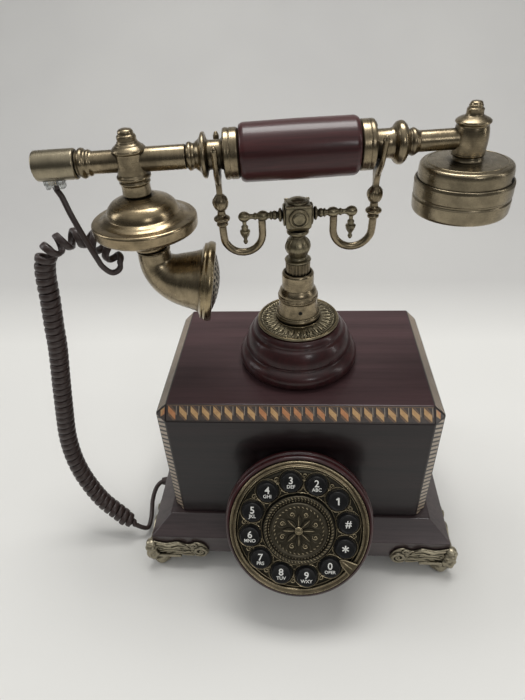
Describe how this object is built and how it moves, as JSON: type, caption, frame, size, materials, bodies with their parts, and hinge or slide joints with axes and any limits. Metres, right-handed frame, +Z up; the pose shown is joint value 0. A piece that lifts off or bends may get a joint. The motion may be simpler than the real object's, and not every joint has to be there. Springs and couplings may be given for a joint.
{
  "type": "french-style cradle telephone",
  "caption": "French-style cradle telephone: wooden case on a bevelled plinth, tilted push-button dial, turned post with forked cradle, brass and wood handset with horn mouthpiece.",
  "frame": {"origin": "centre of the bounding box of everything but the cord, at the level the feet stand on", "axes": "+Z up; the dial faces -Y; +X is to the right of a person facing the dial, where the ear cup is"},
  "size_m": [0.3236, 0.2144, 0.3289],
  "materials": {
    "dark_wood": "very dark mahogany stain under satin lacquer",
    "red_wood": "dark red mahogany stain under gloss lacquer",
    "front_inlay": "slanted light and dark veneer diamonds",
    "side_inlay": "slanted grey-beige and brown veneer",
    "antique_brass": "brushed, antiqued brass, dark in the recesses",
    "cast_bronze": "cast, darkened, bright on the high spots",
    "engraved_plate": "dark engraved plate",
    "black_plastic": "black, with white printed figures on the buttons",
    "circuit_board": "printed circuit board",
    "fibreboard": "dark fibreboard",
    "cord_brown": "dark brown flexible jacket",
    "clear_plastic": "clear moulded plug"
  },
  "bodies": {
    "base": {"case_shell": "dark_wood", "inlay_front": "front_inlay", "inlay_top_left": "side_inlay", "inlay_top_right": "side_inlay", "inlay_corner_left": "side_inlay", "inlay_corner_right": "side_inlay", "plinth": "dark_wood", "base_plate": "fibreboard", "main_board": "circuit_board", "handset_socket": "black_plastic", "hook_switch": "black_plastic", "foot_front_left": "cast_bronze", "foot_front_right": "cast_bronze", "foot_back_left": "cast_bronze", "foot_back_right": "cast_bronze", "dial_housing": "red_wood", "rosette_base": "red_wood", "rosette_disc": "antique_brass", "post_sleeve": "antique_brass", "cord_lead": "cord_brown", "cord_coil": "cord_brown", "plug_base": "cord_brown", "dial_rim": "red_wood", "dial_bezel": "antique_brass", "dial_plate": "engraved_plate", "dial_medallion": "antique_brass", "finger_stop": "antique_brass", "keypad_board": "circuit_board"},
    "cradle": {"cradle_piston": "cast_bronze", "cradle_head": "antique_brass", "arm_left": "cast_bronze", "arm_right": "cast_bronze", "hook_left": "antique_brass", "hook_right": "antique_brass"},
    "handset": {"end_cap": "antique_brass", "tube_left": "antique_brass", "mouth_clamp": "antique_brass", "turning_left": "antique_brass", "grip": "red_wood", "turning_right": "antique_brass", "ear_elbow": "antique_brass", "ear_can": "antique_brass", "ear_ring": "antique_brass", "mouth_bell": "antique_brass", "plug_top": "clear_plastic"},
    "mouth_horn": {"horn_elbow": "antique_brass", "horn_rim": "antique_brass", "horn_grille": "engraved_plate"},
    "button_hash_body": {"button_hash": "black_plastic"},
    "button_1_body": {"button_1": "black_plastic"},
    "button_2_body": {"button_2": "black_plastic"},
    "button_3_body": {"button_3": "black_plastic"},
    "button_4_body": {"button_4": "black_plastic"},
    "button_5_body": {"button_5": "black_plastic"},
    "button_6_body": {"button_6": "black_plastic"},
    "button_7_body": {"button_7": "black_plastic"},
    "button_8_body": {"button_8": "black_plastic"},
    "button_9_body": {"button_9": "black_plastic"},
    "button_0_body": {"button_0": "black_plastic"},
    "button_star_body": {"button_star": "black_plastic"}
  },
  "joints": [
    {"name": "handset_lift", "type": "slide", "parent": "base", "child": "handset", "axis": [0, 0, 1], "range_m": [0, 0.13]},
    {"name": "cradle_travel", "type": "slide", "parent": "base", "child": "cradle", "axis": [0, 0, 1], "range_m": [0, 0.0045]},
    {"name": "mouth_horn_swivel", "type": "hinge", "parent": "handset", "child": "mouth_horn", "pos_m": [-0.08261, 0.01082, 0.24875], "axis": [-0.0099, -0.0009, 1], "range_deg": [-40, 40]},
    {"name": "button_hash_press", "type": "slide", "parent": "base", "child": "button_hash_body", "axis": [0, 0.8572, -0.515], "range_m": [0, 0.0018], "stiffness_N_per_m": 300},
    {"name": "button_1_press", "type": "slide", "parent": "base", "child": "button_1_body", "axis": [0, 0.8572, -0.515], "range_m": [0, 0.0018], "stiffness_N_per_m": 300},
    {"name": "button_2_press", "type": "slide", "parent": "base", "child": "button_2_body", "axis": [0, 0.8572, -0.515], "range_m": [0, 0.0018], "stiffness_N_per_m": 300},
    {"name": "button_3_press", "type": "slide", "parent": "base", "child": "button_3_body", "axis": [0, 0.8572, -0.515], "range_m": [0, 0.0018], "stiffness_N_per_m": 300},
    {"name": "button_4_press", "type": "slide", "parent": "base", "child": "button_4_body", "axis": [0, 0.8572, -0.515], "range_m": [0, 0.0018], "stiffness_N_per_m": 300},
    {"name": "button_5_press", "type": "slide", "parent": "base", "child": "button_5_body", "axis": [0, 0.8572, -0.515], "range_m": [0, 0.0018], "stiffness_N_per_m": 300},
    {"name": "button_6_press", "type": "slide", "parent": "base", "child": "button_6_body", "axis": [0, 0.8572, -0.515], "range_m": [0, 0.0018], "stiffness_N_per_m": 300},
    {"name": "button_7_press", "type": "slide", "parent": "base", "child": "button_7_body", "axis": [0, 0.8572, -0.515], "range_m": [0, 0.0018], "stiffness_N_per_m": 300},
    {"name": "button_8_press", "type": "slide", "parent": "base", "child": "button_8_body", "axis": [0, 0.8572, -0.515], "range_m": [0, 0.0018], "stiffness_N_per_m": 300},
    {"name": "button_9_press", "type": "slide", "parent": "base", "child": "button_9_body", "axis": [0, 0.8572, -0.515], "range_m": [0, 0.0018], "stiffness_N_per_m": 300},
    {"name": "button_0_press", "type": "slide", "parent": "base", "child": "button_0_body", "axis": [0, 0.8572, -0.515], "range_m": [0, 0.0018], "stiffness_N_per_m": 300},
    {"name": "button_star_press", "type": "slide", "parent": "base", "child": "button_star_body", "axis": [0, 0.8572, -0.515], "range_m": [0, 0.0018], "stiffness_N_per_m": 300}
  ],
  "couplings": [
    {"joint": "cradle_travel", "follows": "handset_lift", "ratio": 0.034581}
  ]
}
